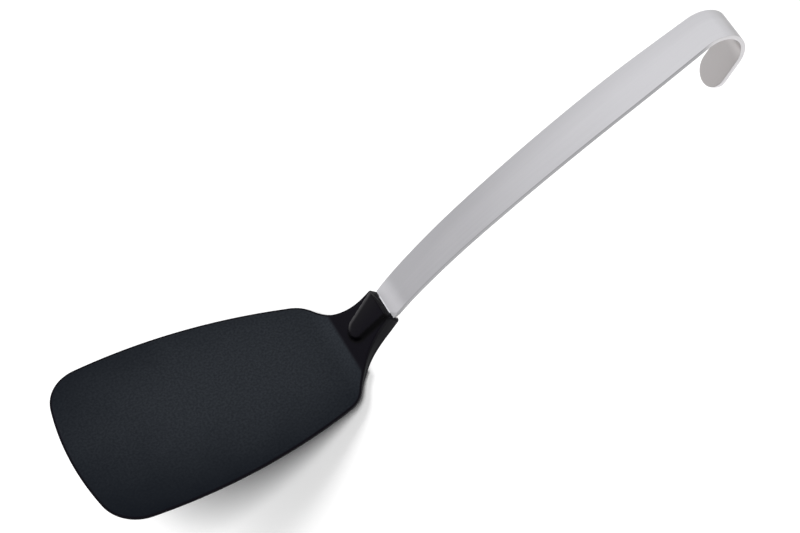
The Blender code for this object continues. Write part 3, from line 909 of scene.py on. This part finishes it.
def satin_steel():
    finish = Finish("satin_steel_strip")
    place, along, aside = finish.flat_place()
    border, height = finish.measure("border"), finish.measure("height")
    hair = finish.noise(place, HAIRS, 3, 0.7)
    streak = finish.noise(place, STREAKS, 2, 0.6)
    touched = finish.noise(place, TOUCHES, 3, 0.55)
    # painted light growing along the strip, less painted shade towards its far edge
    rise = finish.ramp(along, *PAINTED_LIGHT_ALONG) - finish.ramp(aside, *FAR_EDGE, 0.0, FAR_EDGE_SHADE)
    tone = rise + 0.22 * (streak - 0.5) + 0.2 * (hair - 0.5)
    # painted shade on the strip's sides, turning to painted light round the hook
    edge = finish.blend(finish.ramp(along, *SIDE_LIGHT_SPAN), SHADED_SIDE_BAND, LIT_SIDE_BAND)
    rubbed = finish.ramp(border + 0.3 * (touched - 0.5), 0.5, 1.0)
    body = steel_colour(finish, along, tone, height)
    finish.set(
        Base_Color=finish.blend(finish.ramp(border, 1.1, 1.7), body, edge),
        # not metal beside the rim, where a painted grey stands in for the reflection
        Metallic=finish.ramp(along, *BESIDE_RIM),
        Roughness=0.3 + 0.08 * hair + 0.1 * finish.ramp(touched, 0.4, 0.7) - 0.06 * rubbed,
    )
    finish.bump(hair + 0.6 * streak, 0.35, 0.012 * MM)
    return finish.material


flat_map(strip, STRIP_THICKNESS)
steel_finish = satin_steel()
print("steel finish:", len(steel_finish.node_tree.nodes), "nodes")
steel = make_piece("steel_strip", strip, on_strip, steel_finish)
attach(steel, "handle")
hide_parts("handle_strip")

# %% [markdown]
# ## Floor, light and background
#
# The spatula lies on a white sheet in soft light. The floor shows as white to the camera and to reflections
# but keeps the shadow. One broad lamp hangs high on the camera's side, a weaker one stands lower beyond the
# leaf, so that the shadow spreads towards the near side, and a white room fills the rest. The photograph has
# a shadow beside the leaf but none beside the neck and the handle, so only the leaf and its heel shade the
# lamps; everything shades the room's light. The lamps aren't mirrored in the steel.

# %% The white floor
FLOOR_REACH = 3
FLOOR_WHITE = (0.94, 0.94, 0.94, 1)
FLOOR_GLOW = 0.05
floor_mesh = bmesh.new()
bmesh.ops.create_grid(floor_mesh, x_segments=1, y_segments=1, size=FLOOR_REACH)
floor_data = bpy.data.meshes.new("floor")
floor_mesh.to_mesh(floor_data)
floor_mesh.free()
floor = bpy.data.objects.new("floor", floor_data)
bpy.context.scene.collection.objects.link(floor)

white = Finish("white_sheet")
white.set(Base_Color=FLOOR_WHITE, Roughness=0.9, Specular_IOR_Level=0.0)
seen = white.node("ShaderNodeLightPath", {}, {}, "Is Camera Ray")
mirrored = white.node("ShaderNodeLightPath", {}, {}, "Is Glossy Ray")
strength = (seen + mirrored) * FLOOR_GLOW
glow = white.node("ShaderNodeEmission", {}, {"Color": (1, 1, 1, 1), "Strength": strength})
lit = white.node("ShaderNodeAddShader", {}, {0: Signal(white, white.shader.outputs[0]), 1: glow})
white.feed(white.tree.nodes["Material Output"].inputs["Surface"], lit)
floor_data.materials.append(white.material)
print("floor:", 2 * FLOOR_REACH, "m wide")

# %% The white room
ROOM_LIGHT, ROOM_AS_SEEN = 0.12, 1.0
world = bpy.data.worlds.new("white_room")
bpy.context.scene.world = world
world.use_nodes = True
room = world.node_tree
path = room.nodes.new("ShaderNodeLightPath")
shown = room.nodes.new("ShaderNodeMath")
shown.operation = "MAXIMUM"
room.links.new(path.outputs["Is Camera Ray"], shown.inputs[0])
room.links.new(path.outputs["Is Glossy Ray"], shown.inputs[1])
level = room.nodes.new("ShaderNodeMapRange")
room.links.new(shown.outputs[0], level.inputs["Value"])
level.inputs["To Min"].default_value = ROOM_LIGHT
level.inputs["To Max"].default_value = ROOM_AS_SEEN
room.links.new(level.outputs[0], room.nodes["Background"].inputs["Strength"])
room.nodes["Background"].inputs["Color"].default_value = (1, 1, 1, 1)
print("room light:", ROOM_LIGHT, "and as seen:", ROOM_AS_SEEN)

# %% The lamps
LAMP_AIM = (-0.05, 0, 0.02)
LAMPS = (("key_lamp", (-0.33, -1.06, 2.81), 1.6, 64), ("side_lamp", (-1.05, 1.1, 1.75), 1.45, 41))


def soft_lamp(name, place, aim, size, power):
    """A square lamp at a place in the row's frame, turned to a point."""
    lamp = bpy.data.lights.new(name, "AREA")
    lamp.size = size
    lamp.energy = power
    obj = bpy.data.objects.new(name, lamp)
    turned = (Vector(place) - Vector(aim)).to_track_quat("Z", "Y").to_matrix().to_4x4()
    obj.matrix_world = Matrix.Translation(place) @ turned
    obj.visible_glossy = False
    bpy.context.scene.collection.objects.link(obj)
    return obj


shading = bpy.data.collections.new("shades_the_lamps")
for skin in leaf_skins:
    shading.objects.link(skin)
for name, place, size, power in LAMPS:
    lamp = soft_lamp(name, place, LAMP_AIM, size, power)
    lamp.light_linking.blocker_collection = shading
bpy.context.scene.view_settings.view_transform = "Standard"
